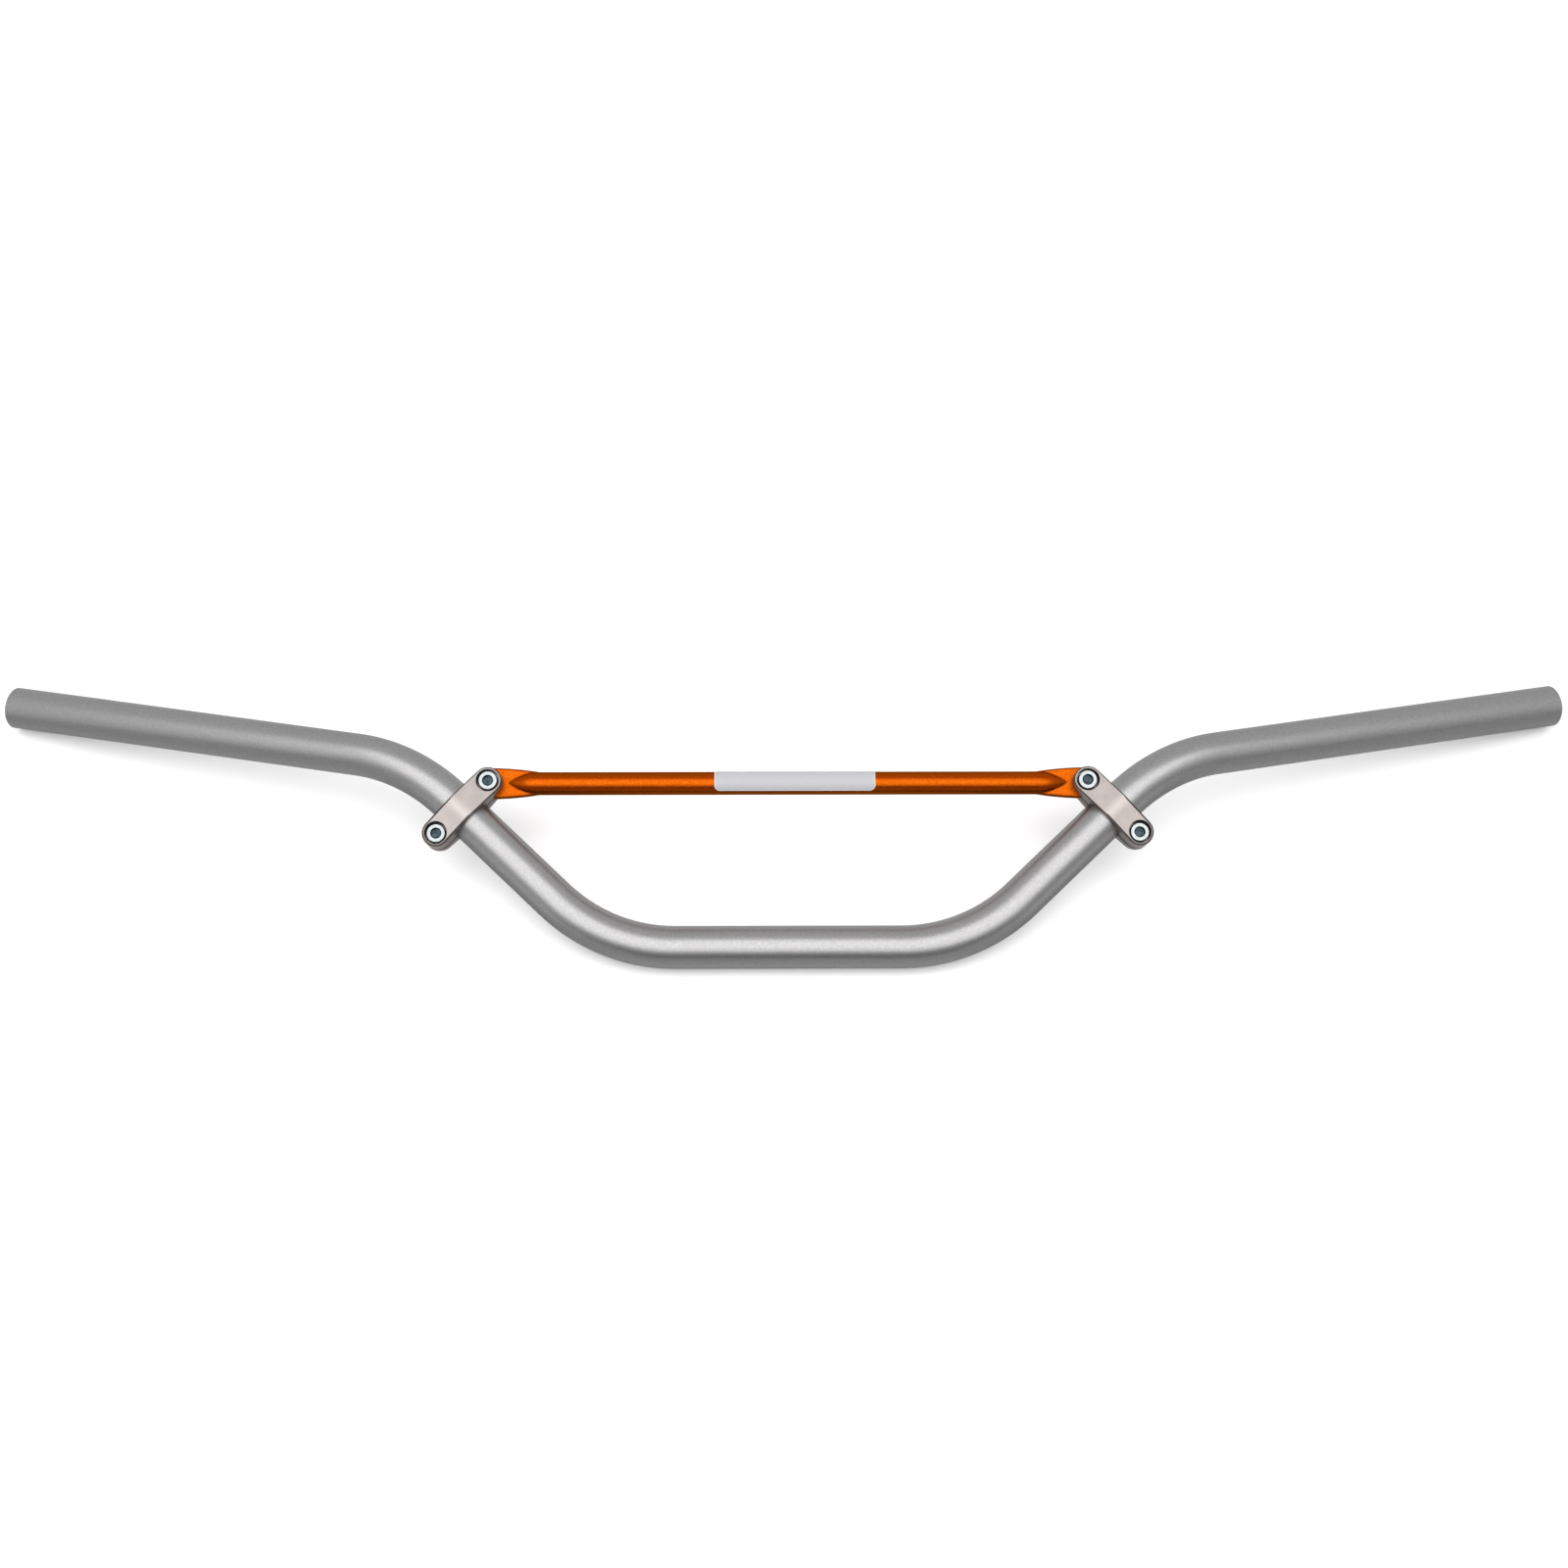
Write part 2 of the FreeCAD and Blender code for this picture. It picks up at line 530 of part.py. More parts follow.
def make_crossbar_label():
    """The bare foil label, glued round the front and top of the crossbar."""
    skin = doc.addObject("Part::Cylinder", "label_skin")
    skin.setExpression("Radius", LABEL_OUTSIDE)
    skin.setExpression("Height", "dims.label_length")
    skin.setExpression("Angle", "dims.label_wrap_angle")
    core = doc.addObject("Part::Cylinder", "label_core")
    core.setExpression("Radius", f"{LABEL_OUTSIDE} - dims.label_thickness")
    core.setExpression("Height", "dims.label_length")
    waste = doc.addObject("Part::MultiFuse", "label_waste")
    waste.Shapes = [core] + [
        make_label_corner(f"label_corner_{end}_{edge}", end == "right", edge == "upper")
        for end in SIDES
        for edge in ("upper", "lower")
    ]
    label = doc.addObject("Part::Cut", "crossbar_label")
    label.Label = "crossbar_label"
    label.Base = skin
    label.Tool = waste
    doc.recompute()
    along_rod = Rotation(Vector(0, 1, 0), Vector(0, 0, 1), Vector(1, 0, 0), "ZXY")
    upper_edge = 90 + size("label_lower_angle") - size("label_wrap_angle")
    round_rod = Rotation(Vector(1, 0, 0), upper_edge)
    start = size("label_shift") - size("label_length") / 2
    seat_node(label, Placement(Vector(start, value(EYE_Y), 0), round_rod.multiply(along_rod)))


def make_clamps_and_screws():
    """Both clamps, each with its two halves, its crossbar screw and its pinch screw."""
    for name, side in SIDES.items():
        across = 90 + side * size("leg_angle")
        place = Placement(Vector(side * value(CLAMP_X), value(CLAMP_Y), 0), Rotation(Vector(0, 0, 1), across))
        make_clamp_half(f"clamp_front_{name}", True, place)
        make_clamp_half(f"clamp_rear_{name}", False, place)
        for screw, x in (("crossbar_screw", value(EYE_OFFSET)), ("pinch_screw", -size("pinch_offset"))):
            seat = Placement(Vector(x, 0, value(SEAT)), Rotation())
            make_screw(f"{screw}_{name}", place.multiply(seat))


def export_nodes():
    """Writes each node's solid, once every object is sound."""
    doc.recompute()
    failed = [item.Label for item in doc.Objects if {"Invalid", "Error"} & set(item.State)]
    for label, piece in nodes.items():
        if piece.Shape.isNull() or not piece.Shape.isValid() or len(piece.Shape.Solids) != 1:
            failed.append(label)
    if failed:
        raise RuntimeError("not sound: " + ", ".join(failed))
    os.makedirs("parts", exist_ok=True)
    for label, piece in nodes.items():
        piece.Shape.exportStep(f"parts/{label}.step")


bar_path, right_tip = right_half_path()
resting = Placement(Vector(0, 0, 0), Rotation(Vector(1, 0, 0), rest_tilt(right_tip)))
make_bar_tube(bar_path, right_tip)
make_crossbar()
make_crossbar_label()
make_clamps_and_screws()
export_nodes()
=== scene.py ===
import logging
import math
from dataclasses import dataclass, field
from enum import Enum
from typing import Iterable, Optional, Sequence

import bmesh
import bpy
from mathutils import Matrix, Vector


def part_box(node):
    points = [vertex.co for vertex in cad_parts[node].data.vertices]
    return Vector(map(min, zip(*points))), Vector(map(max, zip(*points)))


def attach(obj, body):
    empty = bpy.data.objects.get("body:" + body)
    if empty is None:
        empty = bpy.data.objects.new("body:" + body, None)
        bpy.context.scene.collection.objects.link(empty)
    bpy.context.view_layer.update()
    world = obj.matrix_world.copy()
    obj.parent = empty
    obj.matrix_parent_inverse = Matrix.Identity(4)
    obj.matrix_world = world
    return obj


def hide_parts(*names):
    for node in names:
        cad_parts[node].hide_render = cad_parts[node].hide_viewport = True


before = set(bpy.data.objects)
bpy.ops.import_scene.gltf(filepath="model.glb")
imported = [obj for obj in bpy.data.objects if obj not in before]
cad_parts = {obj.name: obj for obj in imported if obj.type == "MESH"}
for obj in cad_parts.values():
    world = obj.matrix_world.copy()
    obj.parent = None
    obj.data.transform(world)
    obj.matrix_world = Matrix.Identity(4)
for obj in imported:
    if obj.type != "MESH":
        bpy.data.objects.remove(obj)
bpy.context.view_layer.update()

# The handlebar lies on a white studio table, on its straight middle and on both tips. Sizes are in
# millimetres and become metres where a mesh is made. Pieces are drawn flat, with X along the bar, Y up in
# the plane of the legs and Z to the front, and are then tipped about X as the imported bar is.

MM = 0.001
BODY = "root"
SMOOTH_ANGLE = math.radians(32)
# Most values of a noise lie between these two.
NOISE_LOW = 0.3
NOISE_HIGH = 0.7

log = logging.getLogger("handlebar")


class Side(Enum):
    """A half of the bar, with the sign of its X."""

    LEFT = -1
    RIGHT = 1

    @property
    def word(self) -> str:
        """The side's name as it ends a node's name."""
        return self.name.lower()


def linear(colour: str) -> tuple[float, float, float, float]:
    """Turns an sRGB hex colour into linear RGBA.

    Args:
        colour: Six hex digits after a hash sign.

    Returns:
        Linear red, green, blue and an alpha of 1.
    """
    shares = [int(colour[place:place + 2], 16) / 255 for place in (1, 3, 5)]
    red, green, blue = (
        share / 12.92 if share <= 0.04045 else ((share + 0.055) / 1.055) ** 2.4 for share in shares
    )
    return red, green, blue, 1.0


def add_node(
    tree: bpy.types.NodeTree,
    kind: str,
    settings: Optional[dict[str, object]] = None,
    sockets: Optional[dict[str | int, object]] = None,
    stops: Sequence[tuple[float, str]] = (),
) -> bpy.types.Node:
    """Adds a shader node, sets it up and links it.

    Args:
        tree: The node tree that gets the node.
        kind: The node's type name.
        settings: Properties of the node itself.
        sockets: Inputs by name or number, each with a value or an output socket to link from.
        stops: Places from 0 to 1, each with a hex colour, where the node is a colour ramp.

    Returns:
        The new node.
    """
    node = tree.nodes.new(kind)
    for name, value in (settings or {}).items():
        setattr(node, name, value)
    for name, value in (sockets or {}).items():
        if isinstance(value, bpy.types.NodeSocket):
            tree.links.new(value, node.inputs[name])
        else:
            node.inputs[name].default_value = value
    for number, (place, colour) in enumerate(stops):
        elements = node.color_ramp.elements
        element = elements[number] if number < 2 else elements.new(place)
        element.position = place
        element.color = linear(colour)
    return node


def new_material(name: str) -> tuple[bpy.types.Material, bpy.types.NodeTree]:
    """Makes an empty node material.

    Args:
        name: The material's name.

    Returns:
        The material and its node tree.
    """
    material = bpy.data.materials.new(name)
    material.use_nodes = True
    material.node_tree.nodes.clear()
    return material, material.node_tree


@dataclass(frozen=True)
class Lie:
    """How a piece lies: the way along which its flanks are told apart for painted shade, and where a ridge
    with a painted highlight crosses it.

    The ridge is given for the right half of the bar, and the left half mirrors it.
    """

    facing: Vector
    across_ridge: Vector
    ridge_level: float


@dataclass(frozen=True)
class MetalFinish:
    """A metal surface: its two close shades, its gloss, the marks that its making left, and on some pieces
    painted shade and a painted highlight.

    The grain is the pit or scratch size, stretched where a tool drew it out. The patch is the size of
    the specks or clouds in which the shade drifts. The rim tint is what the metal gives back at a
    glancing look. Edges are softened over edge_mm. The painted flank shades run from the flank that
    looks against the lie's facing way, at 0, to the one that looks along it, at 1, and paint shade
    onto the flanks. The painted ridge highlight fades out at ridge_half_mm to either side.
    """

    name: str
    shade_dark: str
    shade_light: str
    roughness_low: float
    roughness_high: float
    grain_mm: float
    grain_depth_mm: float
    patch_mm: float
    stretch: tuple[float, float, float] = (1.0, 1.0, 1.0)
    rim_tint: str = "#c8c8c8"
    edge_mm: float = 0.2
    painted_flank_shades: tuple[tuple[float, str], ...] = ()
    ridge_painted_highlight: str = ""
    ridge_half_mm: float = 0.0

    def add_ridge(
        self, tree: bpy.types.NodeTree, shade: bpy.types.NodeSocket, lie: Lie
    ) -> bpy.types.NodeSocket:
        """Paints a highlight along a ridge, fading out to both sides of it.

        Args:
            tree: The material's node tree.
            shade: The shade so far.
            lie: How the piece lies.

        Returns:
            The new shade.
        """
        place = add_node(tree, "ShaderNodeTexCoord").outputs["Object"]
        right = add_node(tree, "ShaderNodeVectorMath", {"operation": "ABSOLUTE"}, {0: place})
        height = add_node(
            tree, "ShaderNodeVectorMath", {"operation": "DOT_PRODUCT"},
            {0: right.outputs["Vector"], 1: lie.across_ridge},
        )
        apart = add_node(
            tree, "ShaderNodeMath", {"operation": "SUBTRACT"},
            {0: height.outputs["Value"], 1: lie.ridge_level},
        )
        away = add_node(tree, "ShaderNodeMath", {"operation": "ABSOLUTE"}, {0: apart.outputs["Value"]})
        share = add_node(
            tree, "ShaderNodeMapRange", {"interpolation_type": "SMOOTHSTEP"},
            {
                "Value": away.outputs["Value"], "From Min": 0.0, "From Max": self.ridge_half_mm * MM,
                "To Min": 1.0, "To Max": 0.0,
            },
        )
        return add_node(
            tree, "ShaderNodeMix", {"data_type": "RGBA"},
            {"Factor": share.outputs["Result"], 6: shade, 7: linear(self.ridge_painted_highlight)},
        ).outputs[2]

    def add_painted_flank_shade(
        self, tree: bpy.types.NodeTree, shade: bpy.types.NodeSocket, rounded: bpy.types.NodeSocket, lie: Lie
    ) -> bpy.types.NodeSocket:
        """Paints shade onto the faces that look away from the rest.

        Args:
            tree: The material's node tree.
            shade: The shade so far.
            rounded: The way that the surface looks, turned over at its edges.
            lie: How the piece lies.

        Returns:
            The new shade.
        """
        outwards = add_node(
            tree, "ShaderNodeVectorTransform",
            {"vector_type": "NORMAL", "convert_from": "WORLD", "convert_to": "OBJECT"}, {"Vector": rounded},
        ).outputs["Vector"]
        facing = add_node(
            tree, "ShaderNodeVectorMath", {"operation": "DOT_PRODUCT"}, {0: outwards, 1: lie.facing})
        turned = add_node(
            tree, "ShaderNodeMapRange",
            sockets={"Value": facing.outputs["Value"], "From Min": -1.0, "From Max": 1.0},
        )
        painted_flank = add_node(
            tree, "ShaderNodeValToRGB", sockets={"Fac": turned.outputs["Result"]}, stops=self.painted_flank_shades)
        return add_node(
            tree, "ShaderNodeMix", {"data_type": "RGBA", "blend_type": "MULTIPLY"},
            {"Factor": 1.0, 6: shade, 7: painted_flank.outputs["Color"]},
        ).outputs[2]

    def build(self, lie: Optional[Lie] = None) -> bpy.types.Material:
        """Makes the material.

        Args:
            lie: How the piece lies, for a finish with a painted ridge highlight or with painted flank
                shade.

        Returns:
            A material with a drifting shade and gloss, and a bump of the grain's size.
        """
        material, tree = new_material(self.name)
        place = add_node(tree, "ShaderNodeTexCoord").outputs["Object"]
        stretched = add_node(
            tree, "ShaderNodeMapping", sockets={"Vector": place, "Scale": self.stretch}
        ).outputs["Vector"]
        patches = add_node(
            tree, "ShaderNodeTexNoise",
            sockets={
                "Vector": place, "Scale": 1 / (self.patch_mm * MM), "Detail": 3.0, "Roughness": 0.55,
            },
        ).outputs["Fac"]
        grain = add_node(
            tree, "ShaderNodeTexNoise",
            sockets={
                "Vector": stretched, "Scale": 1 / (self.grain_mm * MM), "Detail": 2.0, "Roughness": 0.6,
            },
        ).outputs["Fac"]
        shade = add_node(
            tree, "ShaderNodeValToRGB", sockets={"Fac": patches},
            stops=((NOISE_LOW, self.shade_dark), (NOISE_HIGH, self.shade_light)),
        ).outputs["Color"]
        if lie and self.ridge_painted_highlight:
            shade = self.add_ridge(tree, shade, lie)
        rounded = add_node(
            tree, "ShaderNodeBevel", sockets={"Radius": self.edge_mm * MM}).outputs["Normal"]
        if lie and self.painted_flank_shades:
            shade = self.add_painted_flank_shade(tree, shade, rounded, lie)
        gloss = add_node(
            tree, "ShaderNodeMapRange",
            sockets={
                "Value": grain, "From Min": NOISE_LOW, "From Max": NOISE_HIGH,
                "To Min": self.roughness_low, "To Max": self.roughness_high,
            },
        ).outputs["Result"]
        bump = add_node(
            tree, "ShaderNodeBump",
            sockets={
                "Height": grain, "Strength": 1.0, "Distance": self.grain_depth_mm * MM, "Normal": rounded,
            },
        ).outputs["Normal"]
        surface = add_node(
            tree, "ShaderNodeBsdfPrincipled",
            sockets={
                "Base Color": shade, "Metallic": 1.0, "Roughness": gloss, "Normal": bump,
                "Specular Tint": linear(self.rim_tint),
            },
        )
        add_node(tree, "ShaderNodeOutputMaterial", sockets={"Surface": surface.outputs["BSDF"]})
        return material


@dataclass(frozen=True)
class FilmFinish:
    """Polyester label film, printed matt: an even sheet with a fine flake and a pale line along its cut
    edge, partly the bared film and partly a painted highlight.

    The pale line, partly bared film and partly painted highlight, is told from the sheet by how far its
    rounded way agrees with its flat one: fully pale at bare_from, fully printed at printed_from.
    """

    name: str
    shade_dark: str
    shade_light: str
    edge_margin_and_highlight: str
    edge_mm: float
    roughness: float
    ior: float
    flake_mm: float
    flake_depth_mm: float
    flake_low: float = 0.35
    flake_high: float = 0.65
    bare_from: float = 0.80
    printed_from: float = 0.98
    edge_samples: int = 8

    def build(self) -> bpy.types.Material:
        """Makes the material.

        Returns:
            A matt material with a fine flake and a pale line along its cut edge.
        """
        material, tree = new_material(self.name)
        place = add_node(tree, "ShaderNodeTexCoord").outputs["Object"]
        flake = add_node(
            tree, "ShaderNodeTexNoise",
            sockets={"Vector": place, "Scale": 1 / (self.flake_mm * MM), "Detail": 2.0},
        ).outputs["Fac"]
        shade = add_node(
            tree, "ShaderNodeValToRGB", sockets={"Fac": flake},
            stops=((self.flake_low, self.shade_dark), (self.flake_high, self.shade_light)),
        ).outputs["Color"]
        rounded = add_node(
            tree, "ShaderNodeBevel", {"samples": self.edge_samples}, {"Radius": self.edge_mm * MM}
        ).outputs["Normal"]
        flat = add_node(tree, "ShaderNodeNewGeometry").outputs["Normal"]
        evenness = add_node(
            tree, "ShaderNodeVectorMath", {"operation": "DOT_PRODUCT"}, {0: rounded, 1: flat}
        ).outputs["Value"]
        edge = add_node(
            tree, "ShaderNodeMapRange",
            sockets={
                "Value": evenness, "From Min": self.bare_from, "From Max": self.printed_from,
                "To Min": 1.0, "To Max": 0.0,
            },
        ).outputs["Result"]
        shade = add_node(
            tree, "ShaderNodeMix", {"data_type": "RGBA"},
            {"Factor": edge, 6: shade, 7: linear(self.edge_margin_and_highlight)},
        ).outputs[2]
        bump = add_node(
            tree, "ShaderNodeBump",
            sockets={"Height": flake, "Strength": 1.0, "Distance": self.flake_depth_mm * MM},
        ).outputs["Normal"]
        surface = add_node(
            tree, "ShaderNodeBsdfPrincipled",
            sockets={
                "Base Color": shade, "Roughness": self.roughness, "IOR": self.ior, "Normal": bump,
            },
        )
        add_node(tree, "ShaderNodeOutputMaterial", sockets={"Surface": surface.outputs["BSDF"]})
        return material


# Bead-blasted, clear anodised aluminium: an even satin silver with a fine sparkle, soft wide highlights and
# no polish. Painted shade darkens it a little along the underside. The blast pits are a tenth of a
# millimetre, and are drawn as specks about a millimetre wide so that they show.
BLASTED_TUBE = MetalFinish(
    name="aluminium_bead_blasted_clear_anodised",
    shade_dark="#868585",
    shade_light="#929191",
    roughness_low=0.32,
    roughness_high=0.40,
    grain_mm=0.8,
    grain_depth_mm=0.022,
    patch_mm=1.1,
    painted_flank_shades=(
        (0.0, "#f4f4f4"), (0.08, "#d4d4d5"), (0.14, "#c8c8c9"), (0.20, "#cdcdce"), (0.30, "#ffffff"),
    ),
)

# Aluminium anodised orange over a fine turned surface: deep orange metal with a fine sparkle, brightest
# where it faces the light. Painted shade darkens the flanks and shifts their hue against the pressed
# fronts. The turning lines and the specks are finer than a pixel, so the lines are drawn as grain pulled
# out round the rod and the specks are drawn a millimetre wide.
ORANGE_CROSSBAR = MetalFinish(
    name="aluminium_turned_orange_anodised",
    shade_dark="#8c3d06",
    shade_light="#a64e08",
    roughness_low=0.28,
    roughness_high=0.36,
    grain_mm=0.5,
    grain_depth_mm=0.008,
    patch_mm=1.0,
    stretch=(1.0, 0.35, 0.35),
    rim_tint="#dcb890",
    edge_mm=1.2,
    painted_flank_shades=(
        (0.0, "#a0bcd0"), (0.16, "#c6b6b6"), (0.24, "#f8d6b0"), (0.45, "#ffffff"), (0.66, "#ffd6b8"),
        (0.82, "#ece0d8"), (1.0, "#909090"),
    ),
)

# Forged aluminium, tumbled with stones and clear anodised: a warm pale grey, a little mottled. A painted
# highlight brightens the ridge, and painted shade darkens the narrow chamfers round the faces.
TUMBLED_CLAMP = MetalFinish(
    name="aluminium_forged_tumbled_anodised",
    shade_dark="#807a78",
    shade_light="#8a8481",
    roughness_low=0.34,
    roughness_high=0.42,
    grain_mm=0.6,
    grain_depth_mm=0.014,
    patch_mm=9.0,
    edge_mm=0.4,
    painted_flank_shades=((0.72, "#ffffff"), (0.77, "#939292"), (0.94, "#939292"), (0.975, "#ffffff")),
    ridge_painted_highlight="#98918e",
    ridge_half_mm=4.5,
)

# Steel plated with bright zinc: a cold mirror-like white on the head, with fine scratches.
BRIGHT_SCREW = MetalFinish(
    name="steel_cold_headed_bright_zinc",
    shade_dark="#808485",
    shade_light="#949899",
    roughness_low=0.16,
    roughness_high=0.26,
    grain_mm=0.3,
    grain_depth_mm=0.006,
    patch_mm=1.2,
)

# Painted shade for the hexagon socket: a dull blue-black laid on the socket's faces, which takes the glint
# out of the hole.
SOCKET_PAINTED_SHADE = MetalFinish(
    name="steel_socket_painted_shade",
    shade_dark="#20282c",
    shade_light="#404c52",
    roughness_low=0.30,
    roughness_high=0.42,
    grain_mm=0.4,
    grain_depth_mm=0.02,
    patch_mm=2.0,
)

# Polyester film printed matt silver-grey and die cut: flat pale grey with no highlight, a paler line along
# the cut edge, partly the bared film and partly a painted highlight, and a faint flake, which is drawn
# coarser than the ink's own so that it shows.
LABEL_FILM = FilmFinish(
    name="polyester_film_printed_matt_silver",
    shade_dark="#98989d",
    shade_light="#a0a0a4",
    edge_margin_and_highlight="#dededf",
    edge_mm=0.6,
    roughness=0.55,
    ior=1.57,
    flake_mm=0.35,
    flake_depth_mm=0.004,
)


@dataclass(frozen=True)
class BarLayout:
    """Where the bar's pieces lie: the driving dimensions of the bent tube and of its clamps."""

    tube_diameter: float = 22.0
    tube_wall: float = 3.5
    tube_end_chamfer: float = 0.6
    centre_straight: float = 116.0
    lower_bend_radius: float = 90.0
    leg_angle: float = 43.5
    leg_straight: float = 75.0
    upper_bend_radius: float = 92.0
    grip_rise: float = 10.4
    grip_sweep: float = 14.5
    grip_straight: float = 205.0
    clamp_station: float = 66.5
    eye_offset: float = 20.2
    pinch_offset: float = 17.5
    screw_seat: float = 4.5

    def resting(self) -> Matrix:
        """Gives the turn about X from the flat drawing to the table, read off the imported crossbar.

        Returns:
            A 4 by 4 rotation.
        """
        low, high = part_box("crossbar")
        middle = (low + high) / 2
        return Matrix.Rotation(math.atan2(middle.z, middle.y), 4, "X")

    def leg_way(self) -> Vector:
        """Gives the direction of the right leg, outwards."""
        lean = math.radians(self.leg_angle)
        return Vector((math.cos(lean), math.sin(lean), 0))

    def across_leg(self) -> Vector:
        """Gives the direction across the right leg, towards the crossbar."""
        way = self.leg_way()
        return Vector((-way.y, way.x, 0))

    def grip_way(self) -> Vector:
        """Gives the direction of the right grip end, outwards.

        Returns:
            The direction, of length 1, in the flat drawing.
        """
        rise, sweep = math.radians(self.grip_rise), math.radians(self.grip_sweep)
        flat = math.cos(sweep)
        return Vector((flat * math.cos(rise), flat * math.sin(rise), -math.sin(sweep)))

    def leg_start(self) -> Vector:
        """Gives the point where the right lower bend becomes the leg.

        Returns:
            The point on the tube's axis, in the flat drawing.
        """
        lean = math.radians(self.leg_angle)
        rise = self.lower_bend_radius * (1 - math.cos(lean))
        return Vector((self.centre_straight / 2 + self.lower_bend_radius * math.sin(lean), rise, 0))

    def lie(self, facing: Vector) -> Lie:
        """Gives how a piece lies on the bar.

        Args:
            facing: The way along which its flanks are told apart, in the flat drawing.

        Returns:
            That way on the table, and the line of the right leg, where the clamps' ridges are.
        """
        tip = self.resting().to_3x3()
        across = self.across_leg()
        return Lie(tip @ facing, tip @ across, across.dot(self.leg_start()) * MM)

    def screw_place(self, side: Side, offset: float) -> Matrix:
        """Places a screw, with the underside of its head at the origin and its axis on Z.

        Args:
            side: The clamp's side of the bar.
            offset: The screw's distance from the leg's axis, positive towards the crossbar.

        Returns:
            The screw's place in the flat drawing.
        """
        point = self.leg_start() + self.leg_way() * self.clamp_station + self.across_leg() * offset
        return Matrix.Translation((side.value * point.x, point.y, self.screw_seat))


def make_piece(
    name: str, shape: bmesh.types.BMesh, place: Matrix, materials: Sequence[bpy.types.Material]
) -> bpy.types.Object:
    """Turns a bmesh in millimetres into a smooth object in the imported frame.

    Args:
        name: The piece's name.
        shape: Its mesh, which is freed.
        place: Its place, in millimetres.
        materials: Its finishes, in the order that its faces number them.

    Returns:
        The object, linked and riding on the bar.
    """
    bmesh.ops.recalc_face_normals(shape, faces=shape.faces)
    shape.transform(Matrix.Scale(MM, 4) @ place)
    mesh = bpy.data.meshes.new(name)
    shape.to_mesh(mesh)
    shape.free()
    mesh.shade_smooth()
    mesh.set_sharp_from_angle(angle=SMOOTH_ANGLE)
    for material in materials:
        mesh.materials.append(material)
    piece = bpy.data.objects.new(name, mesh)
    bpy.context.scene.collection.objects.link(piece)
    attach(piece, BODY)
    return piece


def dress_node(name: str, material: bpy.types.Material) -> None:
    """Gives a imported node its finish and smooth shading.

    Args:
        name: The node's name.
        material: Its finish.
    """
    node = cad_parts[name]
    node.data.materials.clear()
    node.data.materials.append(material)
    node.data.shade_smooth()
    node.data.set_sharp_from_angle(angle=SMOOTH_ANGLE)
    log.info("dressed %s in %s", name, material.name)


def add_ring(
    shape: bmesh.types.BMesh, centre: Vector, right: Vector, up: Vector, radii: Sequence[float]
) -> list[bmesh.types.BMVert]:
    """Adds a ring of points, evenly turned about a centre.

    Args:
        shape: The bmesh that gets the points.
        centre: The ring's centre.
        right: The way to the first point, of length 1.
        up: The way to the point a quarter turn on, of length 1.
        radii: How far each point is from the centre.

    Returns:
        The points in order.
    """
    turns = (2 * math.pi * step / len(radii) for step in range(len(radii)))
    return [
        shape.verts.new(centre + (right * math.cos(turn) + up * math.sin(turn)) * radius)
        for turn, radius in zip(turns, radii)
    ]


def loft(
    shape: bmesh.types.BMesh,
    rings: Sequence[Sequence[bmesh.types.BMVert]],
    closed: bool = False,
    finish: int = 0,
) -> None:
    """Joins rings of equal length with quads. A ring may be a single point.

    Args:
        shape: The bmesh that holds the rings.
        rings: The rings in order.
        closed: Whether the last ring joins the first.
        finish: The number of the faces' finish.
    """
    pairs = list(zip(rings, rings[1:]))
    if closed:
        pairs.append((rings[-1], rings[0]))
    for ring, following in pairs:
        count = max(len(ring), len(following))
        for index in range(count):
            after = (index + 1) % count
            corners = [ring[index % len(ring)], ring[after % len(ring)]]
            corners += [following[after % len(following)], following[index % len(following)]]
            shape.faces.new(list(dict.fromkeys(corners))).material_index = finish


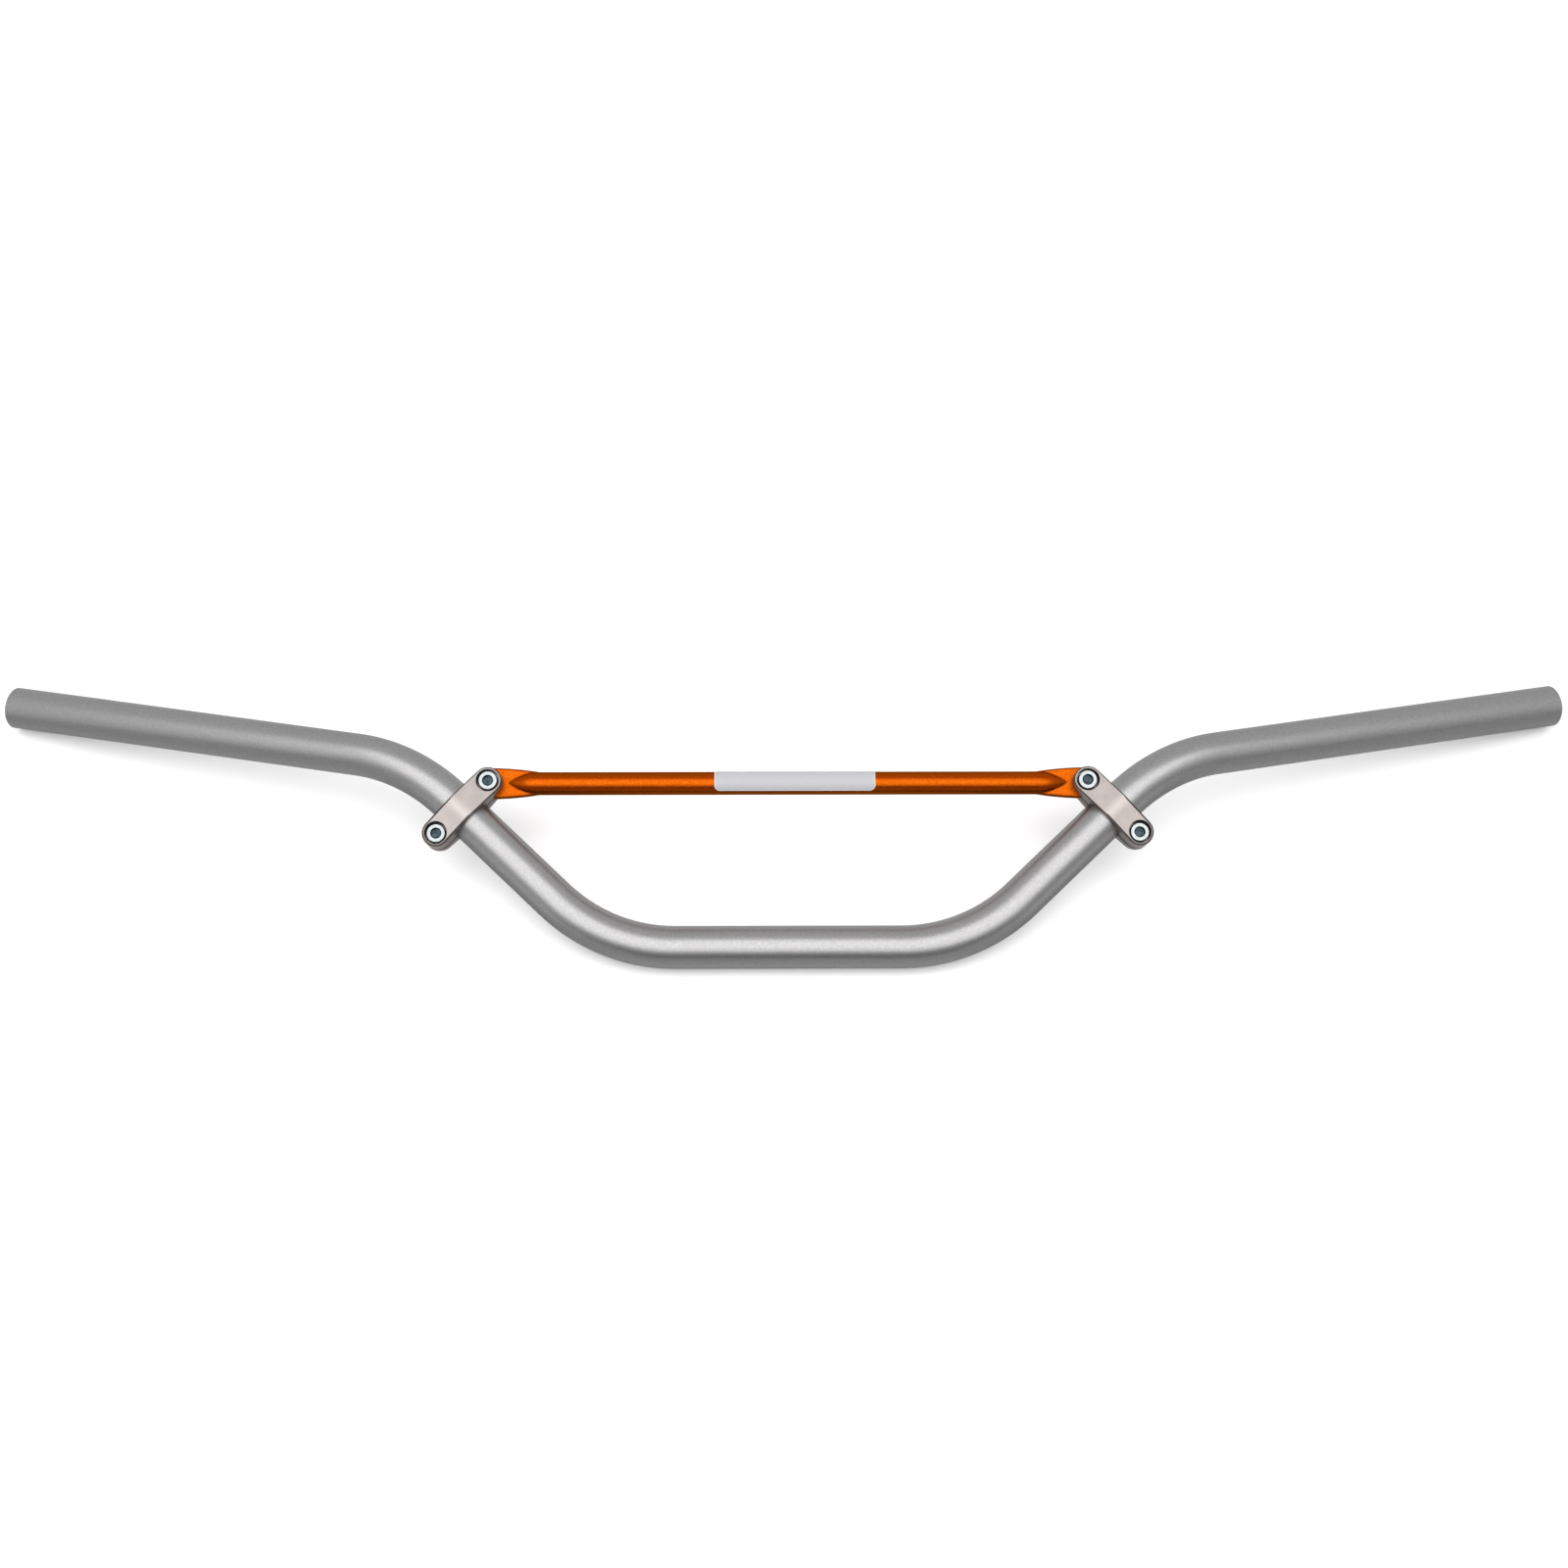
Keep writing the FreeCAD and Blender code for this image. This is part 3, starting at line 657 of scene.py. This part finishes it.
@dataclass
class BentTube:
    """The bar tube, swept with fine rings so that its bends shade smoothly."""

    layout: BarLayout
    around: int = 112
    bend_steps: int = 28

    def stations(self) -> list[tuple[Vector, Vector]]:
        """Follows the tube's axis from the left tip to the right.

        Returns:
            Points with the directions there, in the flat drawing.
        """
        layout = self.layout
        chamfer = layout.tube_end_chamfer
        half = [(Vector((layout.centre_straight / 2, 0, 0)), Vector((1, 0, 0)))]
        for way, radius, straight in (
            (layout.leg_way(), layout.lower_bend_radius, layout.leg_straight),
            (layout.grip_way(), layout.upper_bend_radius, layout.grip_straight - chamfer),
        ):
            start, inward = half[-1]
            turn = inward.angle(way)
            across = (way - inward * inward.dot(way)).normalized()
            for step in range(1, self.bend_steps + 1):
                angle = turn * step / self.bend_steps
                point = start + (inward * math.sin(angle) + across * (1 - math.cos(angle))) * radius
                half.append((point, inward * math.cos(angle) + across * math.sin(angle)))
            half.append((half[-1][0] + way * straight, way))
        mirrored = [
            (Vector((-point.x, point.y, point.z)), Vector((way.x, -way.y, -way.z))) for point, way in half
        ]
        return mirrored[::-1] + half

    def build(self, material: bpy.types.Material) -> bpy.types.Object:
        """Sweeps the outside, the tips and the bore as one closed skin.

        Args:
            material: The tube's finish.

        Returns:
            The tube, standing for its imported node.
        """
        layout = self.layout
        chamfer = layout.tube_end_chamfer
        outer = layout.tube_diameter / 2
        bore = outer - layout.tube_wall
        shape = bmesh.new()
        frames: list[tuple[Vector, Vector, Vector]] = []
        side = Vector((0, 0, 1))
        stations = self.stations()
        for point, way in stations:
            side = (side - way * side.dot(way)).normalized()
            frames.append((point, side, way.cross(side)))
        rows = [(*place, outer) for place in frames]
        for radius in (outer - chamfer, bore + chamfer):
            point, right, up = frames[-1]
            rows.append((point + stations[-1][1] * chamfer, right, up, radius))
        rows += [(*place, bore) for place in reversed(frames)]
        for radius in (bore + chamfer, outer - chamfer):
            point, right, up = frames[0]
            rows.append((point - stations[0][1] * chamfer, right, up, radius))
        rings = [
            add_ring(shape, point, right, up, [radius] * self.around) for point, right, up, radius in rows
        ]
        loft(shape, rings, closed=True)
        piece = make_piece("bar_tube_swept", shape, layout.resting(), [material])
        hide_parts("bar_tube")
        log.info("built %s with %d faces", piece.name, len(piece.data.polygons))
        return piece


@dataclass
class SocketScrew:
    """An M6 socket screw: knurled head, hexagon socket with a drilled point, and a threaded shank."""

    head_diameter: float = 10.0
    head_height: float = 6.0
    head_chamfer: float = 0.5
    knurl_teeth: int = 44
    knurl_depth: float = 0.22
    steps_per_tooth: int = 4
    socket_flats: float = 5.0
    socket_depth: float = 3.0
    socket_chamfer: float = 0.35
    drill_depth: float = 0.8
    shank_diameter: float = 6.0
    shank_length: float = 12.0
    plain_length: float = 2.0
    thread_pitch: float = 1.0
    thread_depth: float = 0.5

    def turns(self) -> list[float]:
        """Gives the turns about the axis at which each ring of the screw has its points."""
        around = self.knurl_teeth * self.steps_per_tooth
        return [2 * math.pi * step / around for step in range(around)]

    def plain(self, radius: float) -> list[float]:
        """Gives the radii of a round ring."""
        return [radius] * len(self.turns())

    def knurled(self, radius: float, share: float) -> list[float]:
        """Gives the radii of a knurled ring, cut to a share of the knurl's depth."""
        waves = (0.5 + 0.5 * math.cos(self.knurl_teeth * turn) for turn in self.turns())
        return [radius - share * self.knurl_depth * wave for wave in waves]

    def hexagon(self) -> list[float]:
        """Gives the radii of the socket's ring.

        Returns:
            The distance from the axis to the hexagon, at each turn.
        """
        sector = math.pi / 3
        nearest = ((turn + sector / 2) % sector - sector / 2 for turn in self.turns())
        return [self.socket_flats / 2 / math.cos(turn) for turn in nearest]

    def profile(self) -> list[tuple[float, list[float]]]:
        """Follows the screw's skin from the floor of the socket over the head to the end of the shank.

        Returns:
            Heights over the underside of the head, each with the radii of its ring. The first three are the
            floor, the wall and the chamfered mouth of the socket.
        """
        head = self.head_diameter / 2
        shank = self.shank_diameter / 2
        top = self.head_height
        chamfer = self.head_chamfer
        socket = self.hexagon()
        mouth = self.socket_flats / 2 + self.socket_chamfer
        # The knurl gets shallower towards the top and runs out on the chamfer.
        rows = [
            (top - self.socket_depth, socket),
            (top - self.socket_chamfer, socket),
            (top, [max(radius, mouth) for radius in socket]),
            (top, self.plain(head - chamfer)),
            (top - 0.3 * chamfer, self.knurled(head - 0.5 * chamfer, 0.4)),
            (top - 1.2 * chamfer, self.knurled(head, 0.8)),
            (top - 2.0 * chamfer, self.knurled(head, 1.0)),
            (chamfer, self.knurled(head, 1.0)),
            (0, self.plain(head - chamfer)),
            (0, self.plain(shank)),
        ]
        for step in range(int((self.shank_length - self.plain_length) / self.thread_pitch)):
            crest = -self.plain_length - step * self.thread_pitch
            rows.append((crest, self.plain(shank)))
            rows.append((crest - self.thread_pitch / 2, self.plain(shank - self.thread_depth)))
        rows.append((-self.shank_length, self.plain(shank - 2 * self.thread_depth)))
        return rows

    def build(
        self, name: str, place: Matrix, node: str, materials: Sequence[bpy.types.Material]
    ) -> bpy.types.Object:
        """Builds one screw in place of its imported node.

        Args:
            name: The piece's name.
            place: Where the underside of its head sits.
            node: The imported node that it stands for.
            materials: The finish of its outside and that of its socket.

        Returns:
            The screw.
        """
        shape = bmesh.new()
        right, up = Vector((1, 0, 0)), Vector((0, 1, 0))
        rings = [
            add_ring(shape, Vector((0, 0, height)), right, up, radii) for height, radii in self.profile()
        ]
        rings.append([shape.verts.new((0, 0, -self.shank_length))])
        loft(shape, rings[2:])
        drilled = [shape.verts.new((0, 0, self.head_height - self.socket_depth - self.drill_depth))]
        # The socket's faces take the second finish, which is painted shade.
        loft(shape, [drilled] + rings[:3], finish=1)
        piece = make_piece(name, shape, place, materials)
        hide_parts(node)
        log.info("built %s for %s", name, node)
        return piece


@dataclass
class Brace:
    """The crossbar with its bare label, its two clamps and their screws."""

    layout: BarLayout
    screw: SocketScrew = field(default_factory=SocketScrew)

    def dress(self) -> None:
        """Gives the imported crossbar, label and clamp halves their finishes."""
        dress_node("crossbar", ORANGE_CROSSBAR.build(self.layout.lie(Vector((0, 1, 0)))))
        dress_node("crossbar_label", LABEL_FILM.build())
        clamp = TUMBLED_CLAMP.build(self.layout.lie(Vector((0, 0, 1))))
        for side in Side:
            dress_node(f"clamp_front_{side.word}", clamp)
            dress_node(f"clamp_rear_{side.word}", clamp)

    def build_screws(self) -> list[bpy.types.Object]:
        """Builds the four screws.

        Returns:
            The screws, left clamp first.
        """
        finishes = (BRIGHT_SCREW.build(), SOCKET_PAINTED_SHADE.build())
        layout = self.layout
        return [
            self.screw.build(
                f"{word}_screw_knurled_{side.word}",
                layout.resting() @ layout.screw_place(side, offset),
                f"{word}_screw_{side.word}",
                finishes,
            )
            for side in Side
            for word, offset in (("crossbar", layout.eye_offset), ("pinch", -layout.pinch_offset))
        ]


@dataclass
class Studio:
    """The white table, the soft light over it and the camera.

    The room's shades run from its dimmest way, at 0, to its brightest, at 1. The side lift is how much
    brighter the room gets towards its left and right walls.
    """

    floor_height: float = -11.0
    floor_radius: float = 6000.0
    floor_segments: int = 96
    floor_colour: str = "#e8e8e8"
    floor_lift: float = 0.03
    bright_way: tuple[float, float, float] = (-0.20, 0.77, 0.61)
    side_lift: float = 0.6
    room_shades: tuple[tuple[float, str], ...] = (
        (0.10, "#5c6166"), (0.45, "#bcbcbc"), (0.70, "#fafafa"), (0.90, "#ffffff"))
    room_strength: float = 1.05
    box_point: tuple[float, float, float] = (-60.0, -553.0, 1480.0)
    box_size: tuple[float, float] = (2640.0, 1940.0)
    box_watts: float = 36.3
    lens: float = 54.0
    sensor: float = 36.0
    camera_point: tuple[float, float, float] = (-15.7, -582.6, 1057.1)
    camera_way: tuple[float, float, float] = (0.01119, 0.54210, -0.84025)
    camera_roll: float = 0.90

    def build_floor(self) -> None:
        """Makes the table: white to the eye and in reflections, and still taking the bar's shadow."""
        material, tree = new_material("table_white_laminate")
        paths = add_node(tree, "ShaderNodeLightPath")
        seen = add_node(
            tree, "ShaderNodeMath", {"operation": "MAXIMUM"},
            {0: paths.outputs["Is Camera Ray"], 1: paths.outputs["Is Glossy Ray"]},
        ).outputs["Value"]
        shown = add_node(
            tree, "ShaderNodeMath", {"operation": "MAXIMUM"},
            {0: seen, 1: paths.outputs["Is Transmission Ray"]},
        ).outputs["Value"]
        lift = add_node(
            tree, "ShaderNodeMath", {"operation": "MULTIPLY"}, {0: shown, 1: self.floor_lift}
        ).outputs["Value"]
        paint = add_node(tree, "ShaderNodeBsdfDiffuse", sockets={"Color": linear(self.floor_colour)})
        glow = add_node(tree, "ShaderNodeEmission", sockets={"Strength": lift})
        both = add_node(
            tree, "ShaderNodeAddShader", sockets={0: paint.outputs["BSDF"], 1: glow.outputs["Emission"]})
        add_node(tree, "ShaderNodeOutputMaterial", sockets={"Surface": both.outputs["Shader"]})
        shape = bmesh.new()
        bmesh.ops.create_circle(
            shape, cap_ends=True, segments=self.floor_segments, radius=self.floor_radius * MM)
        mesh = bpy.data.meshes.new("table")
        shape.to_mesh(mesh)
        shape.free()
        mesh.materials.append(material)
        table = bpy.data.objects.new("table", mesh)
        table.location.z = self.floor_height * MM
        bpy.context.scene.collection.objects.link(table)

    def build_world(self) -> None:
        """Makes the room's light: pale above, behind and at the sides, dim low in front."""
        world = bpy.data.worlds.new("studio_room")
        bpy.context.scene.world = world
        world.use_nodes = True
        tree = world.node_tree
        tree.nodes.clear()
        way = add_node(tree, "ShaderNodeTexCoord").outputs["Generated"]
        sides = add_node(
            tree, "ShaderNodeVectorMath", {"operation": "ABSOLUTE"}, {0: way}).outputs["Vector"]
        behind = add_node(
            tree, "ShaderNodeVectorMath", {"operation": "DOT_PRODUCT"}, {0: way, 1: self.bright_way}
        ).outputs["Value"]
        beside = add_node(
            tree, "ShaderNodeVectorMath", {"operation": "DOT_PRODUCT"},
            {0: sides, 1: (self.side_lift, 0, 0)},
        ).outputs["Value"]
        share = add_node(
            tree, "ShaderNodeMath", {"operation": "ADD"}, {0: behind, 1: beside}).outputs["Value"]
        place = add_node(
            tree, "ShaderNodeMapRange", sockets={"Value": share, "From Min": -1.0, "From Max": 1.0}
        ).outputs["Result"]
        colour = add_node(
            tree, "ShaderNodeValToRGB", sockets={"Fac": place}, stops=self.room_shades).outputs["Color"]
        light = add_node(
            tree, "ShaderNodeBackground", sockets={"Color": colour, "Strength": self.room_strength})
        add_node(tree, "ShaderNodeOutputWorld", sockets={"Surface": light.outputs["Background"]})

    def build_lamp(self) -> None:
        """Hangs one wide soft box over the table, aimed at the middle of the bar."""
        lamp = bpy.data.lights.new("overhead_box", "AREA")
        lamp.shape = "RECTANGLE"
        lamp.size = self.box_size[0] * MM
        lamp.size_y = self.box_size[1] * MM
        lamp.energy = self.box_watts
        hung = bpy.data.objects.new("overhead_box", lamp)
        point = Vector(self.box_point)
        hung.location = point * MM
        hung.rotation_euler = (-point).to_track_quat("-Z", "Y").to_euler()
        bpy.context.scene.collection.objects.link(hung)

    def build_camera(self) -> None:
        """Stands the camera where the photograph was taken from."""
        forward = Vector(self.camera_way).normalized()
        level = forward.cross(Vector((0, 0, 1))).normalized()
        above = level.cross(forward)
        roll = math.radians(self.camera_roll)
        right = level * math.cos(roll) + above * math.sin(roll)
        up = right.cross(forward)
        lens = bpy.data.cameras.new("camera")
        lens.lens = self.lens
        lens.sensor_width = self.sensor
        camera = bpy.data.objects.new("camera", lens)
        turn = Matrix((right, up, -forward)).transposed().to_4x4()
        camera.matrix_world = Matrix.Translation(Vector(self.camera_point) * MM) @ turn
        bpy.context.scene.collection.objects.link(camera)
        bpy.context.scene.camera = camera

    def build(self) -> None:
        """Builds the whole studio."""
        self.build_floor()
        self.build_world()
        self.build_lamp()
        self.build_camera()
        bpy.context.scene.view_settings.view_transform = "Standard"


def main() -> None:
    """Builds the bar, dresses it and sets it in the studio."""
    logging.basicConfig(level=logging.INFO)
    layout = BarLayout()
    BentTube(layout).build(BLASTED_TUBE.build(layout.lie(Vector((0, 1, 0)))))
    brace = Brace(layout)
    brace.dress()
    brace.build_screws()
    Studio().build()


if __name__ == "__main__":
    main()
